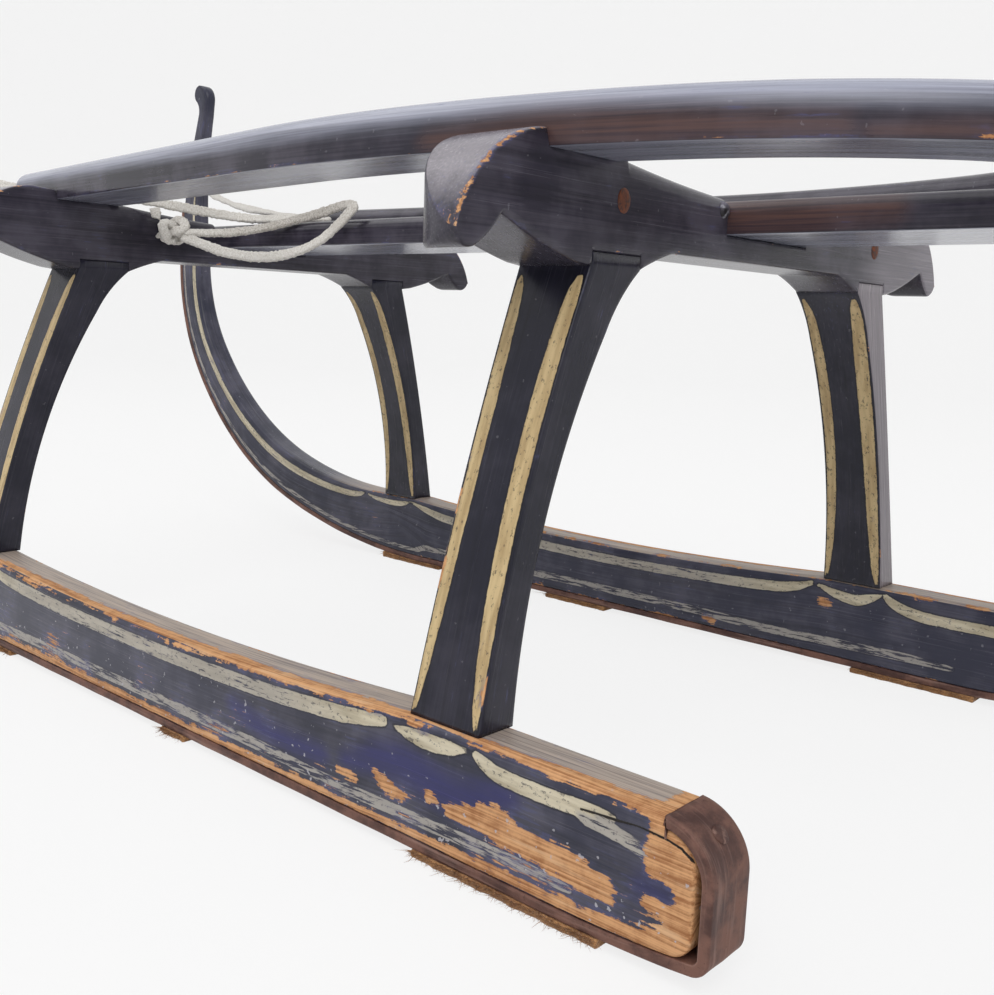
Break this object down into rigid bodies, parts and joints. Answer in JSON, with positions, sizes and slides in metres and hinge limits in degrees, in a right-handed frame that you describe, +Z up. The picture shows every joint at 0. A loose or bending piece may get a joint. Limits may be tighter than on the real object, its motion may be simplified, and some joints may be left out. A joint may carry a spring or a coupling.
{
  "type": "child sled",
  "caption": "Antique child's sled: sawn runners with upswept horns, iron shoes, curved posts, scroll-ended cross beams, bowed seat rails, a centre slat and a suede pull cord.",
  "frame": {"origin": "on the floor under the middle of the sled's length and width, without its cord", "axes": "+X forward, towards the horns; +Y to the sled's left; +Z up"},
  "size_m": [0.981, 0.4326, 0.4427],
  "materials": {
    "painted_wood": "worn dark blue-black paint, satin, with pale stripes and bare wood at the edges",
    "runner_iron": "rusty brown strap iron",
    "felt": "brown felt",
    "suede": "off-white suede lace"
  },
  "bodies": {
    "root": {"beam_rear": "painted_wood", "beam_front": "painted_wood", "centre_slat": "painted_wood", "tail_packing": "painted_wood", "runner_left": "painted_wood", "post_rear_left": "painted_wood", "post_front_left": "painted_wood", "side_rail_left": "painted_wood", "runner_right": "painted_wood", "post_rear_right": "painted_wood", "post_front_right": "painted_wood", "side_rail_right": "painted_wood", "runner_iron_left": "runner_iron", "runner_iron_right": "runner_iron", "felt_rear_left": "felt", "felt_middle_left": "felt", "felt_front_left": "felt", "felt_rear_right": "felt", "felt_middle_right": "felt", "felt_front_right": "felt", "pull_cord": "suede", "cord_tail": "suede", "cord_loop": "suede", "cord_knot": "suede", "noose_left": "suede", "noose_right": "suede"}
  },
  "joints": []
}
